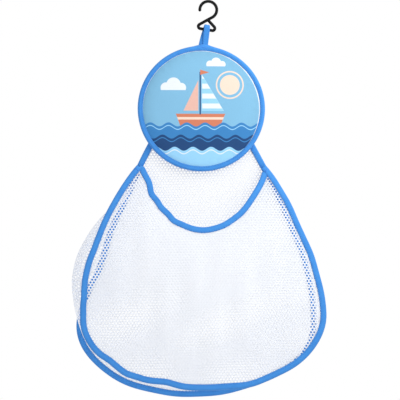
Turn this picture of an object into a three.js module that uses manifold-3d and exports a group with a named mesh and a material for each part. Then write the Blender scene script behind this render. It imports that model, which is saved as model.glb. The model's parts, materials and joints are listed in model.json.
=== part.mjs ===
// Hanging bath toy organiser. A moulded hook carries a tape loop sewn to a padded round
// medallion, and from the medallion hangs a gusseted net bag whose seams are bound with folded tape.
// Units are millimetres and degrees. +Z is up, -Y faces the user, and the origin is the point
// inside the crook of the hook where a rail bears.
import * as THREE from "three";
import { mergeVertices } from "three/addons/utils/BufferGeometryUtils.js";
import Module from "manifold-3d";

const wasm = await Module();
wasm.setup();

// Fabric and tape
const SEAM_GAP = 0.3; // clearance between sewn layers
const NET_THICKNESS = 0.8;
const TAPE_THICKNESS = 0.7;
const TAPE_WIDTH = 8; // finished width of a folded binding
const TAPE_ROUND = 0.6; // rounding of a binding's folded edge

// Hook
const HOOK_ROD = 3.9; // diameter of the moulded rod
const CROOK_RADIUS = 9.2; // inside of the crook, where the rail sits
const HOOK_RISE = 26.2; // from the bar of the eye up to the centre of the crook
const CROOK_END = 201; // direction of the crook's tip from its centre
const EYE_WIDTH = 22; // the eye is a triangle, measured on the rod's centre line
const EYE_HEIGHT = 13.1;
const EYE_BEND = 3;
const HANGER_LEAN = 9; // the hook and its loop lean to the right of plumb

// Tape loop
const LOOP_TAPE = 1.4; // the loop's tape is folded double
const LOOP_CLEARANCE = 0.4; // between the loop and the hook's bar
const LOOP_DROP = 18; // from the bar down to the root of the loop
const LOOP_SEAM = 6; // length over which the two legs are sewn together
const LOOP_OFFSET = 3.4; // the root sits to the right of the medallion's top

// Padded medallion
const MEDALLION_RADIUS = 84;
const FACE_THICKNESS = 0.6;
const FOAM_THICKNESS = 3;
const BACKING_THICKNESS = 0.6;
const PLY_GAP = 0.1; // between the plies of the medallion
const RIM_WIDTH = 6.8; // its binding is narrower, as the fold goes round more thickness
const RIM_ROUND = 1.6;

// Bell-shaped outlines, on the centre line of their binding. Flanks leave the corners at
// flankAngle from plumb, and the other leads are the lengths of the curves' handles.
const BACK = {
  cornerHalf: 62.5,
  cornerRadius: 74, // the top edge is an arc about the medallion's centre, hidden by its rim
  maxHalf: 155,
  maxDrop: 281, // widest point and bottom, below the medallion's centre
  bottomDrop: 372,
  flankAngle: 28.4,
  flankLead: 75,
  waistLead: 69,
  hipLead: 59,
  bottomLead: 84,
  sway: 6.5, // the bottom hangs this far to the left
};
const FRONT = {
  cornerHalf: 82,
  maxHalf: 155.3,
  maxDrop: 193, // widest point and bottom, below the corners, along the slope
  bottomDrop: 288,
  flankAngle: 41,
  flankLead: 49,
  waistLead: 66,
  hipLead: 58.5,
  bottomLead: 84,
};
const FRONT_HINGE_DROP = 77.2; // the front's corners, below the medallion's centre
const FRONT_SLOPE = 11; // the front panel stands off the back panel by this angle
const HINGE_GAP = 0.8; // between the front and back bindings where they meet

// Scooped mouth in the front panel
const MOUTH_INSET = 6.5; // its ends lie this far inside the front's flanks
const MOUTH_LEFT_START = 3; // its ends, below the corners
const MOUTH_RIGHT_START = 9;
const MOUTH_DROP = 84.7; // lowest point, below the corners
const MOUTH_FLANK_LEAD = 22.4;
const MOUTH_FLANK_ANGLE = 14.6;
const MOUTH_BOTTOM_LEAD = 45.5;

// Gusset between the bound edges
const GUSSET_START = 34; // it starts this far below the front's corners, along the binding
const GUSSET_BELLY = -3; // how far it stands out from its seams: here it is drawn in
const GUSSET_BULGE = 29; // more than that on the left, where it has spread
const BULGE_AT = 0.17; // middle and half width of that spread, along the seam from left to right
const BULGE_SPAN = 0.14;
const CURVE_PEAK = 0.75; // share of its handles' length that the gusset's curve reaches

// Drawn net: one diamond gap stands for a group of the real holes
const GAP_WIDTH = 12;
const GAP_HEIGHT = 16;
const GAP_PITCH_X = 24;
const GAP_PITCH_Z = 31;
const GAP_MARGIN = 4; // plain net left between the gaps and a binding

// Facets
const SEAM_STEPS = 56;
const MOUTH_STEPS = 32;
const RIM_STEPS = 60;
const HOOK_STEPS = 64;
const HOOK_SIDES = 10;
const ROUND_STEPS = 2;
const BELLY_STEPS = 4;
const TURN_STEPS = 2;

const lean = THREE.MathUtils.degToRad(HANGER_LEAN);
const slope = THREE.MathUtils.degToRad(FRONT_SLOPE);

// Layers of a bound seam, counted from the outer face of its panel towards the bag's inside:
// outer leg of the tape, panel, turned-in edge of the gusset, inner leg of the tape
const outerLeg = -SEAM_GAP - TAPE_THICKNESS;
const flangeMiddle = NET_THICKNESS * 1.5 + SEAM_GAP;
const seamPocket = 2 * NET_THICKNESS + 2 * SEAM_GAP;
const innerLeg = seamPocket + TAPE_THICKNESS;
const mouthPocket = NET_THICKNESS + SEAM_GAP;
const mouthLeg = mouthPocket + TAPE_THICKNESS;
const panelReach = TAPE_WIDTH / 2 - TAPE_THICKNESS - SEAM_GAP; // panel edge from the tape's centre line

// Depths along Y
const laminate = FACE_THICKNESS + FOAM_THICKNESS + BACKING_THICKNESS + 2 * PLY_GAP;
const rimHalf = laminate / 2 + SEAM_GAP + TAPE_THICKNESS;
const backOuterFace = rimHalf + SEAM_GAP + innerLeg; // rear face of the back panel
const hingeDepth = rimHalf + SEAM_GAP - HINGE_GAP;

// Geometry helpers

// A closed mesh as a solid for cutting and joining
function toSolid(geometry) {
  const bare = geometry.index ? geometry.toNonIndexed() : geometry.clone();
  bare.deleteAttribute("normal");
  bare.deleteAttribute("uv");
  const merged = mergeVertices(bare);
  return new wasm.Manifold(
    new wasm.Mesh({
      numProp: 3,
      vertProperties: merged.attributes.position.array,
      triVerts: merged.index.array,
    }),
  );
}

function fromSolid(solid) {
  const mesh = solid.getMesh();
  return new THREE.BufferGeometry()
    .setAttribute("position", new THREE.BufferAttribute(mesh.vertProperties, mesh.numProp))
    .setIndex(new THREE.BufferAttribute(mesh.triVerts, 1));
}

// Six times the enclosed volume is the sum of each face's triple product
function facesOut(points, faces) {
  const turned = new THREE.Vector3();
  const volume = faces.reduce((sum, [a, b, c]) => {
    return sum + points[a].dot(turned.crossVectors(points[b], points[c]));
  }, 0);
  return volume < 0 ? faces.map(([a, b, c]) => [a, c, b]) : faces;
}

function closedGeometry(points, faces) {
  return new THREE.BufferGeometry().setFromPoints(points).setIndex(facesOut(points, faces).flat());
}

function quad(a, b, c, d) {
  return [
    [a, b, c],
    [a, c, d],
  ];
}

// Solid through a row of equal sections, each a loop of points, capped by the section's profile
function loft(sections, profile) {
  const loop = profile.length;
  const last = (sections.length - 1) * loop;
  const faces = [];
  for (let row = 0; row < last; row += loop) {
    for (let k = 0; k < loop; k++) {
      const next = (k + 1) % loop;
      faces.push(...quad(row + k, row + next, row + loop + next, row + loop + k));
    }
  }
  for (const [a, b, c] of THREE.ShapeUtils.triangulateShape(profile, [])) {
    faces.push([a, c, b], [last + a, last + b, last + c]);
  }
  return closedGeometry(sections.flat(), faces);
}

// Sheet of even thickness about a grid of points
function sheet(grid, thickness) {
  const rows = grid.length;
  const columns = grid[0].length;
  const at = (i, j) => grid[Math.min(Math.max(i, 0), rows - 1)][Math.min(Math.max(j, 0), columns - 1)];
  const normal = (i, j) => {
    const along = at(i + 1, j).clone().sub(at(i - 1, j));
    const across = at(i, j + 1).clone().sub(at(i, j - 1));
    return along.cross(across).setLength(thickness / 2);
  };
  const front = grid.flatMap((row, i) => row.map((p, j) => p.clone().add(normal(i, j))));
  const rear = grid.flatMap((row, i) => row.map((p, j) => p.clone().sub(normal(i, j))));
  const shift = rows * columns;
  const faces = [];
  const edge = [];
  for (let i = 0; i < rows - 1; i++) {
    for (let j = 0; j < columns - 1; j++) {
      const k = i * columns + j;
      const cell = [k, k + columns, k + columns + 1, k + 1];
      faces.push(...quad(...cell), ...quad(...cell.map((n) => n + shift).reverse()));
    }
  }
  for (let j = 0; j < columns; j++) edge.push(j);
  for (let i = 1; i < rows; i++) edge.push(i * columns + columns - 1);
  for (let j = columns - 2; j >= 0; j--) edge.push((rows - 1) * columns + j);
  for (let i = rows - 2; i > 0; i--) edge.push(i * columns);
  edge.forEach((a, n) => {
    const b = edge[(n + 1) % edge.length];
    faces.push(...quad(a, b, b + shift, a + shift));
  });
  return closedGeometry([...front, ...rear], faces);
}

// Flat plate cut to a shape drawn in X and Z, from depth y towards the user
function plate(shape, thickness, y) {
  const geometry = new THREE.ExtrudeGeometry(shape, { depth: thickness, bevelEnabled: false });
  return geometry.rotateX(Math.PI / 2).translate(0, y, 0);
}

// A drawn path stood up in the XZ plane
class UprightCurve extends THREE.Curve {
  constructor(path) {
    super();
    this.path = path;
  }

  getPoint(t, target = new THREE.Vector3()) {
    const p = this.path.getPoint(t);
    return target.set(p.x, 0, p.y);
  }
}

// Outlines

// Bell outline from the left corner, round the bottom, to the right corner
function bellPath(bell, cornerZ, maxZ, bottomZ) {
  const angle = THREE.MathUtils.degToRad(bell.flankAngle);
  const leadX = bell.cornerHalf + bell.flankLead * Math.sin(angle);
  const leadZ = cornerZ - bell.flankLead * Math.cos(angle);
  const { cornerHalf, maxHalf, waistLead, hipLead, bottomLead } = bell;
  return new THREE.Path()
    .moveTo(-cornerHalf, cornerZ)
    .bezierCurveTo(-leadX, leadZ, -maxHalf, maxZ + waistLead, -maxHalf, maxZ)
    .bezierCurveTo(-maxHalf, maxZ - hipLead, -bottomLead, bottomZ, 0, bottomZ)
    .bezierCurveTo(bottomLead, bottomZ, maxHalf, maxZ - hipLead, maxHalf, maxZ)
    .bezierCurveTo(maxHalf, maxZ + waistLead, leadX, leadZ, cornerHalf, cornerZ);
}

// End of the mouth on the right-hand flank of the front, at a given drop below the corner
function mouthEnd(drop) {
  const flank = Math.tan(THREE.MathUtils.degToRad(FRONT.flankAngle));
  return new THREE.Vector2(FRONT.cornerHalf + drop * flank - MOUTH_INSET, -drop);
}

// Scooped mouth from its left end to its right end
function mouthPath() {
  const angle = THREE.MathUtils.degToRad(MOUTH_FLANK_ANGLE);
  const leadX = MOUTH_FLANK_LEAD * Math.sin(angle);
  const leadZ = MOUTH_FLANK_LEAD * Math.cos(angle);
  const left = mouthEnd(MOUTH_LEFT_START);
  const right = mouthEnd(MOUTH_RIGHT_START);
  return new THREE.Path()
    .moveTo(-left.x, left.y)
    .bezierCurveTo(leadX - left.x, left.y - leadZ, -MOUTH_BOTTOM_LEAD, -MOUTH_DROP, 0, -MOUTH_DROP)
    .bezierCurveTo(MOUTH_BOTTOM_LEAD, -MOUTH_DROP, right.x - leadX, right.y - leadZ, right.x, right.y);
}

// Evenly spaced stations on a path: a point and the direction to its right-hand side, which is
// out of the bag on the bells. Sway grows with the square of the drop.
function stations(path, steps, sway = 0, drop = 1) {
  const points = path.getSpacedPoints(steps);
  points.forEach((p) => (p.x -= sway * (p.y / drop) ** 2));
  return points.map((point, i) => {
    const ahead = points[Math.min(i + 1, steps)];
    const behind = points[Math.max(i - 1, 0)];
    const run = ahead.clone().sub(behind).normalize();
    return { point, out: new THREE.Vector2(run.y, -run.x) };
  });
}

function offset(station, distance) {
  return station.point.clone().addScaledVector(station.out, distance);
}

const backCornerZ = -Math.sqrt(BACK.cornerRadius ** 2 - BACK.cornerHalf ** 2);
const backStations = stations(
  bellPath(BACK, backCornerZ, -BACK.maxDrop, -BACK.bottomDrop),
  SEAM_STEPS,
  BACK.sway,
  BACK.bottomDrop,
);
const frontStations = stations(bellPath(FRONT, 0, -FRONT.maxDrop, -FRONT.bottomDrop), SEAM_STEPS);
const mouthStations = stations(mouthPath(), MOUTH_STEPS);

// Where a layer of each bound seam lies: how far out of the bag, and how deep from the panel's face
function backPoint(station, out, depth) {
  const p = offset(station, out);
  return new THREE.Vector3(p.x, backOuterFace - depth, p.y);
}

function frontPoint(station, out, depth) {
  const p = offset(station, out);
  return new THREE.Vector3(p.x, depth - innerLeg, p.y);
}

// Bindings

// Folded tape in section: X runs out of the bag, Y from the outer leg to the inner leg
function bindingProfile(pocket, leg) {
  const half = TAPE_WIDTH / 2;
  const fold = half - TAPE_THICKNESS;
  const profile = [new THREE.Vector2(-half, outerLeg)];
  for (const [middle, start] of [
    [outerLeg + TAPE_ROUND, -Math.PI / 2],
    [leg - TAPE_ROUND, 0],
  ]) {
    for (let k = 0; k <= ROUND_STEPS; k++) {
      const turn = start + (k / ROUND_STEPS) * (Math.PI / 2);
      const x = half - TAPE_ROUND + TAPE_ROUND * Math.cos(turn);
      profile.push(new THREE.Vector2(x, middle + TAPE_ROUND * Math.sin(turn)));
    }
  }
  profile.push(
    new THREE.Vector2(-half, leg),
    new THREE.Vector2(-half, pocket),
    new THREE.Vector2(fold, pocket),
    new THREE.Vector2(fold, -SEAM_GAP),
    new THREE.Vector2(-half, -SEAM_GAP),
  );
  return profile;
}

function binding(row, profile, place) {
  return loft(
    row.map((station) => profile.map((p) => place(station, p.x, p.y))),
    profile,
  );
}

const seamProfile = bindingProfile(seamPocket, innerLeg);

// The mouth's binding ends against the front's binding, so it is cut by that binding's outline
function mouthBinding() {
  const profile = bindingProfile(mouthPocket, mouthLeg);
  const inward = (station, out, depth) => frontPoint(station, -out, depth);
  const reach = TAPE_WIDTH / 2 + SEAM_GAP;
  const keepOut = [
    new THREE.Vector2(-reach, outerLeg - SEAM_GAP),
    new THREE.Vector2(TAPE_WIDTH, outerLeg - SEAM_GAP),
    new THREE.Vector2(TAPE_WIDTH, innerLeg + SEAM_GAP),
    new THREE.Vector2(-reach, innerLeg + SEAM_GAP),
  ];
  const whole = toSolid(binding(mouthStations, profile, inward));
  return fromSolid(whole.subtract(toSolid(binding(frontStations, keepOut, frontPoint))));
}

// Net panels

function inside(p, outline) {
  let odd = false;
  outline.forEach((a, i) => {
    const b = outline[(i + 1) % outline.length];
    if (a.y > p.y !== b.y > p.y && p.x < a.x + ((p.y - a.y) / (b.y - a.y)) * (b.x - a.x)) odd = !odd;
  });
  return odd;
}

// Diamond gaps in staggered rows, wherever a whole diamond lies within the clear outline
function netGaps(clear, lowest) {
  const half = [GAP_WIDTH / 2, GAP_HEIGHT / 2];
  const widest = Math.max(...clear.map((p) => Math.abs(p.x)));
  const rows = Math.ceil(lowest / (GAP_PITCH_Z / 2));
  const columns = Math.ceil(widest / GAP_PITCH_X);
  const gaps = [];
  for (let row = 0; row <= rows; row++) {
    for (let column = -columns; column <= columns; column++) {
      const x = (column + (row % 2) / 2) * GAP_PITCH_X;
      const z = (-row * GAP_PITCH_Z) / 2;
      const corners = [
        new THREE.Vector2(x + half[0], z),
        new THREE.Vector2(x, z + half[1]),
        new THREE.Vector2(x - half[0], z),
        new THREE.Vector2(x, z - half[1]),
      ];
      if (corners.every((p) => inside(p, clear))) gaps.push(new THREE.Path(corners));
    }
  }
  return gaps;
}

function netPanel(outline, clear, lowest) {
  const shape = new THREE.Shape(outline);
  shape.holes = netGaps(clear, lowest);
  return shape;
}

const clearReach = -TAPE_WIDTH / 2 - GAP_MARGIN;

function arcPoints(radius, halfWidth) {
  const end = Math.asin(halfWidth / radius);
  const arc = new THREE.EllipseCurve(0, 0, radius, radius, end - Math.PI / 2, -end - Math.PI / 2, true);
  return arc.getPoints(MOUTH_STEPS);
}

function backPanel() {
  const corner = offset(backStations.at(-1), panelReach).length();
  const rim = MEDALLION_RADIUS + GAP_MARGIN;
  const outline = [
    ...backStations.map((s) => offset(s, panelReach)),
    ...arcPoints(corner, BACK.cornerHalf).slice(1, -1),
  ];
  const below = backStations.map((s) => offset(s, clearReach)).filter((p) => p.length() > rim);
  const clear = [...below, ...arcPoints(rim, Math.min(rim, below.at(-1).x))];
  const shape = netPanel(outline, clear, BACK.bottomDrop);
  return plate(shape, NET_THICKNESS, backOuterFace);
}

function frontPanel() {
  const mouth = (reach) => mouthStations.map((s) => offset(s, -reach)).reverse();
  const outline = [...frontStations.map((s) => offset(s, panelReach)), ...mouth(panelReach)];
  const clear = [...frontStations.map((s) => offset(s, clearReach)), ...mouth(clearReach)];
  const shape = netPanel(outline, clear, FRONT.bottomDrop);
  return plate(shape, NET_THICKNESS, NET_THICKNESS - innerLeg);
}

// Gusset

// Where the gusset stands out, as the length of the handles of its curve in section
function gussetLead(share) {
  const bump = Math.max(0, 1 - ((share - BULGE_AT) / BULGE_SPAN) ** 2);
  const ends = Math.sqrt(Math.sin(Math.PI * share));
  return (GUSSET_BELLY * ends + GUSSET_BULGE * bump ** 2) / CURVE_PEAK;
}

// Half a turn round the edge of a binding's inner leg, from the pocket to the bag's inside
function turnPoints(station, place) {
  const middle = seamPocket + TAPE_THICKNESS / 2;
  const radius = middle - flangeMiddle;
  const points = [place(station, panelReach - SEAM_GAP, flangeMiddle)];
  for (let k = 0; k <= TURN_STEPS; k++) {
    const turn = (k / TURN_STEPS) * Math.PI;
    const out = -TAPE_WIDTH / 2 - radius * Math.sin(turn);
    points.push(place(station, out, middle - radius * Math.cos(turn)));
  }
  return points;
}

function gussetRow(front, back, share, toBag) {
  const frontEdge = turnPoints(front, frontPoint).map((p) => p.applyMatrix4(toBag));
  const backEdge = turnPoints(back, backPoint);
  const lead = gussetLead(share);
  const start = frontEdge.at(-1);
  const end = backEdge.at(-1);
  const out = new THREE.Vector3(front.out.x + back.out.x, 0, front.out.y + back.out.y).setLength(lead);
  const belly = new THREE.CubicBezierCurve3(start, start.clone().add(out), end.clone().add(out), end);
  return [...frontEdge, ...belly.getPoints(BELLY_STEPS).slice(1, -1), ...backEdge.reverse()];
}

// The back seam starts higher than the front seam, so its stations are matched by share of length
function gusset(toBag) {
  const path = bellPath(BACK, backCornerZ, -BACK.maxDrop, -BACK.bottomDrop);
  const length = path.getLength();
  const frontLength = bellPath(FRONT, 0, -FRONT.maxDrop, -FRONT.bottomDrop).getLength();
  const first = Math.ceil((GUSSET_START / frontLength) * SEAM_STEPS);
  const horn = (FRONT_HINGE_DROP + backCornerZ) / Math.cos(THREE.MathUtils.degToRad(BACK.flankAngle));
  const rows = [];
  for (let i = first; i <= SEAM_STEPS - first; i++) {
    const share = i / SEAM_STEPS;
    const along = horn / length + share * (1 - (2 * horn) / length);
    rows.push(gussetRow(frontStations[i], betweenStations(backStations, along), share, toBag));
  }
  return sheet(rows, NET_THICKNESS);
}

function betweenStations(row, share) {
  const place = share * (row.length - 1);
  const i = Math.min(Math.floor(place), row.length - 2);
  return {
    point: row[i].point.clone().lerp(row[i + 1].point, place - i),
    out: row[i].out.clone().lerp(row[i + 1].out, place - i).normalize(),
  };
}

// Hook

const crookRadius = CROOK_RADIUS + HOOK_ROD / 2;
const bendCentre = new THREE.Vector2(EYE_WIDTH / 2 - EYE_BEND, EYE_BEND);

// The right arm of the eye runs from the apex and touches the bend; the left arm mirrors it
function armAngle() {
  const fall = new THREE.Vector2(bendCentre.x, bendCentre.y - EYE_HEIGHT);
  return fall.angle() + Math.asin(EYE_BEND / fall.length());
}

// The crook's centre lies where the line of the left arm touches the crook
function crookCentre() {
  const rise = 2 * Math.PI - armAngle();
  const shift = (crookRadius - (HOOK_RISE - EYE_HEIGHT) * Math.cos(rise)) / Math.sin(rise);
  return new THREE.Vector2(-shift, HOOK_RISE);
}

function rod(path, steps) {
  const circle = new THREE.Shape().absarc(0, 0, HOOK_ROD / 2, 0, 2 * Math.PI);
  return toSolid(
    new THREE.ExtrudeGeometry(circle, {
      extrudePath: new UprightCurve(path),
      steps,
      curveSegments: HOOK_SIDES / 2,
      bevelEnabled: false,
    }),
  );
}

function hook() {
  const arm = armAngle();
  const touch = arm + Math.PI / 2 - 2 * Math.PI;
  const centre = crookCentre();
  const { x, y } = bendCentre;
  const crookEnd = THREE.MathUtils.degToRad(CROOK_END);
  const main = new THREE.Path()
    .absarc(centre.x, centre.y, crookRadius, crookEnd, -touch, true)
    .absarc(-x, y, EYE_BEND, Math.PI - touch, 1.5 * Math.PI, false)
    .absarc(x, y, EYE_BEND, -Math.PI / 2, touch, false);
  const touchPoint = new THREE.Vector2(Math.cos(touch), Math.sin(touch)).multiplyScalar(EYE_BEND);
  const side = new THREE.Path().moveTo(x + touchPoint.x, y + touchPoint.y).lineTo(0, EYE_HEIGHT);
  const tip = new THREE.SphereGeometry(HOOK_ROD / 2, HOOK_SIDES, HOOK_SIDES / 2);
  const tipX = centre.x + crookRadius * Math.cos(crookEnd);
  const tipZ = centre.y + crookRadius * Math.sin(crookEnd);
  const knuckle = new THREE.SphereGeometry(HOOK_ROD / 2, HOOK_SIDES, HOOK_SIDES / 2);
  return fromSolid(
    rod(main, HOOK_STEPS)
      .add(rod(side, 1))
      .add(toSolid(tip.translate(tipX, 0, tipZ)))
      .add(toSolid(knuckle.translate(x + touchPoint.x, 0, y + touchPoint.y))),
  );
}

// Tape loop

// Outline round two circles, the upper one at the origin
function beltOutline(kind, upper, lower, drop) {
  const tilt = Math.asin((upper - lower) / drop);
  return new kind()
    .absarc(0, 0, upper, -tilt, Math.PI + tilt, false)
    .absarc(0, -drop, lower, Math.PI + tilt, 2 * Math.PI - tilt, false);
}

const loopInside = HOOK_ROD / 2 + LOOP_CLEARANCE;
const loopRoot = LOOP_TAPE + SEAM_GAP / 2; // half thickness of the two sewn legs

function tapeLoop() {
  const outer = beltOutline(THREE.Shape, loopInside + LOOP_TAPE, loopRoot, LOOP_DROP);
  outer.holes.push(beltOutline(THREE.Path, loopInside, SEAM_GAP / 2, LOOP_DROP - LOOP_SEAM));
  const geometry = new THREE.ExtrudeGeometry(outer, { depth: TAPE_WIDTH, bevelEnabled: false });
  const [x, y, z] = [0, 1, 2].map((axis) => new THREE.Vector3().setComponent(axis, 1));
  return geometry.translate(0, 0, -TAPE_WIDTH / 2).applyMatrix4(new THREE.Matrix4().makeBasis(y, z, x));
}

// Medallion

function ply(thickness, rear) {
  const radius = MEDALLION_RADIUS - TAPE_THICKNESS - SEAM_GAP;
  return new THREE.CylinderGeometry(radius, radius, thickness, RIM_STEPS).translate(0, rear - thickness / 2, 0);
}

function medallionBinding() {
  const pocket = laminate / 2 + SEAM_GAP;
  const inner = MEDALLION_RADIUS - RIM_WIDTH;
  const fold = MEDALLION_RADIUS - TAPE_THICKNESS;
  const profile = [new THREE.Vector2(inner, -rimHalf)];
  for (const [side, start] of [
    [-1, -Math.PI / 2],
    [1, 0],
  ]) {
    for (let k = 0; k <= ROUND_STEPS; k++) {
      const turn = start + (k / ROUND_STEPS) * (Math.PI / 2);
      const middle = side * (rimHalf - RIM_ROUND);
      const radius = MEDALLION_RADIUS - RIM_ROUND + RIM_ROUND * Math.cos(turn);
      profile.push(new THREE.Vector2(radius, middle + RIM_ROUND * Math.sin(turn)));
    }
  }
  profile.push(
    new THREE.Vector2(inner, rimHalf),
    new THREE.Vector2(inner, pocket),
    new THREE.Vector2(fold, pocket),
    new THREE.Vector2(fold, -pocket),
    new THREE.Vector2(inner, -pocket),
    profile[0].clone(),
  );
  return new THREE.LatheGeometry(profile, RIM_STEPS);
}

// Materials

function finish(color, roughness) {
  return new THREE.MeshStandardMaterial({ color, roughness, metalness: 0 });
}

const blackPlastic = finish(0x141414, 0.3);
const blueTape = finish(0x4491e3, 0.75);
const printedFabric = finish(0x83c2e3, 0.8);
const whiteFoam = finish(0xf2f2f0, 0.95);
const paleBacking = finish(0xdfe6ee, 0.85);
const whiteNet = finish(0xeef1f9, 0.7);

function piece(name, geometry, material) {
  const mesh = new THREE.Mesh(geometry, material);
  mesh.name = name;
  return mesh;
}

// Assembly

const organiser = new THREE.Group();

// The hanger's frame sits on the middle of the hook's bar, leaning with the hook
const hanger = new THREE.Group();
hanger.rotation.y = lean;
const centre = crookCentre();
const upright = new THREE.Vector3(centre.x, 0, centre.y).applyEuler(hanger.rotation);
hanger.position.set(-upright.x, 0, -CROOK_RADIUS - upright.z);
hanger.add(piece("hook", hook(), blackPlastic), piece("hanging_loop", tapeLoop(), blueTape));

// The medallion's centre lies below the root of the loop, which clears the rim at its low end
const bag = new THREE.Group();
const rootReach = MEDALLION_RADIUS + loopRoot + SEAM_GAP + (TAPE_WIDTH / 2) * Math.sin(lean);
const root = new THREE.Vector3(0, 0, -LOOP_DROP).applyEuler(hanger.rotation).add(hanger.position);
bag.position.set(root.x - LOOP_OFFSET, 0, root.z - Math.sqrt(rootReach ** 2 - LOOP_OFFSET ** 2));

// The front panel hangs from the corners where its binding meets the back binding
const front = new THREE.Group();
front.position.set(0, hingeDepth, -FRONT_HINGE_DROP);
front.rotation.x = -slope;
front.updateMatrix();

const faceRear = -laminate / 2 + FACE_THICKNESS;
const foamRear = faceRear + PLY_GAP + FOAM_THICKNESS;
bag.add(
  piece("medallion_face", ply(FACE_THICKNESS, faceRear), printedFabric),
  piece("medallion_foam", ply(FOAM_THICKNESS, foamRear), whiteFoam),
  piece("medallion_backing", ply(BACKING_THICKNESS, laminate / 2), paleBacking),
  piece("medallion_binding", medallionBinding(), blueTape),
  piece("back_panel", backPanel(), whiteNet),
  piece("back_binding", binding(backStations, seamProfile, backPoint), blueTape),
  piece("gusset", gusset(front.matrix), whiteNet),
  front,
);
front.add(
  piece("front_panel", frontPanel(), whiteNet),
  piece("front_binding", binding(frontStations, seamProfile, frontPoint), blueTape),
  piece("mouth_binding", mouthBinding(), blueTape),
);
organiser.add(hanger, bag);

export default organiser;
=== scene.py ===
"""Hanging bath toy bag: hook, tape loop, padded medallion and a net pocket with bound seams.

Lengths are in millimetres, in the part's frame: +Z up and -Y towards the user. Meshes are in metres.
"""

import json
import math
from functools import partial, partialmethod, reduce

import bpy
import numpy as np
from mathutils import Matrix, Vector


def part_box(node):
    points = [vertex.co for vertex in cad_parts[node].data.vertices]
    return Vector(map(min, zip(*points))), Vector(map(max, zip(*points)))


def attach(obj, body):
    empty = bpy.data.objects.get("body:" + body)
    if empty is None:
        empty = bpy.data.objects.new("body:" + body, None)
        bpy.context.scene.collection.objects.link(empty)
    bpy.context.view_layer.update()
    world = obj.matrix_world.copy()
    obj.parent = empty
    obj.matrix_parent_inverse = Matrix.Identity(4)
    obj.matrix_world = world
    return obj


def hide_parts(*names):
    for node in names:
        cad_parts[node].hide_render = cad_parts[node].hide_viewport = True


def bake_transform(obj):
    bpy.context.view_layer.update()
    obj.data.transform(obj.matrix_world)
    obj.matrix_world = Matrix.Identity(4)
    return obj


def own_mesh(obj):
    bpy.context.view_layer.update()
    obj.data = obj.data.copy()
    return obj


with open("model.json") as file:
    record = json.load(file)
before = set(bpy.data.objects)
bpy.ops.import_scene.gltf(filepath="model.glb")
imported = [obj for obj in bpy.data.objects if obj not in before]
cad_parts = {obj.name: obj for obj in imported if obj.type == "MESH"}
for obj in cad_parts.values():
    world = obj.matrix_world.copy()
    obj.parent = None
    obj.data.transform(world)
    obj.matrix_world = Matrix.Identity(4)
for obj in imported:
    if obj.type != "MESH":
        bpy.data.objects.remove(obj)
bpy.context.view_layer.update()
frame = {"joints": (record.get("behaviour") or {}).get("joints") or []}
MM = 0.001
TURN = 2 * math.pi
REARWARD = np.array([0, 1, 0])

# Photograph
IMAGE_PIXELS = 400
RIM_RADIUS_PIXELS = 63.8
MEDALLION_PIXELS = (201.5, 108.7)
CAMERA_DISTANCE = 1700
CAMERA_TURN = -3
SENSOR_WIDTH = 36

# Studio: lamp size in metres, power in watts
FLOOR_LEVEL = -750
FLOOR_RADIUS = 900
FLOOR_FADE = 4
EVEN_LIGHT = (0.745, 0.757, 0.805, 1)
KEY_OFFSET = (400, -260, 400)
KEY_SIZE = 0.7
KEY_POWER = 3.2
BOUNCES = 24
DIFFUSE_BOUNCES = 16

# Tape and net
TAPE_WIDTH = 8
TAPE_THICKNESS = 0.7
TAPE_CROWN = 0.4
SEAM_GAP = 0.3
SEAM_THICKNESS = 3.9
SEAM_FOLD = 1.7
MOUTH_THICKNESS = 2.8
MOUTH_FOLD = 1.2
NET_THICKNESS = 0.5
NET_MARGIN = 0.4
CELL_WIDTH = 4.24
CELL_HEIGHT = 6.95
HOLE_SHARE = 0.6
GRAIN_WANDER = 1.0
GRAIN_WAVES = (41, 53)
NET_LETS_THROUGH = 0.5

# Stitches and tacks; a tack's size is its length and its width
STITCH_LENGTH = 2.5
STITCH_PITCH = 3.2
STITCH_RADIUS = 0.28
STITCH_INSET = 1.5
STITCH_SINK = 0.15
GROOVE_DEPTH = 0.16
GROOVE_SPREAD = 0.7
TACK_PITCH = 0.55
TACK_SLANT = 0.28
TACK_RADIUS = 0.24
TACK_LIFT = 0.25
CORNER_TACK = (2.6, 6.4)
CORNER_TACK_AT = 6
CORNER_TACK_REACH = 3
LOOP_TACK = (9, 2.2)
LOOP_TACK_INSET = 3.6

# Hook
HOOK_ROD = 3.9
CROOK_RADIUS = 9.2
HOOK_RISE = 26.2
CROOK_END = 201
EYE_WIDTH = 22
EYE_HEIGHT = 13.1
EYE_BEND = 3
ARM_END = (0.6, -0.5)
MOULD_RIDGE = 0.025

# Loop: shares by which it draws in, with their spreads, and shifts to the side
LOOP_WIDTH = 9
LOOP_THICKNESS = 1.3
LOOP_FLATNESS = (0.4, 0.7)
LOOP_CLEARANCE = 0.4
LOOP_TUCK = 6
LOOP_SLACK = 3
LOOP_ROOT_SPREAD = 0.8
LOOP_DRAWN_WIDE = (0.13, 0.2)
LOOP_DRAWN_TIGHT = (0.1, 0.05)
LOOP_DRAWN_ROOT = 0.27
LOOP_SHIFT = 0.46
LOOP_FRONT_SHIFT = 1.84
LOOP_REAR_SHIFT = -2.66
LOOP_REAR_FROM = 0.4
LOOP_CREASE = (-1.6, 0.22, 0.9)
LOOP_PUCKER = 0.1
LOOP_FOLD_ABOVE = 5

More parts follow.
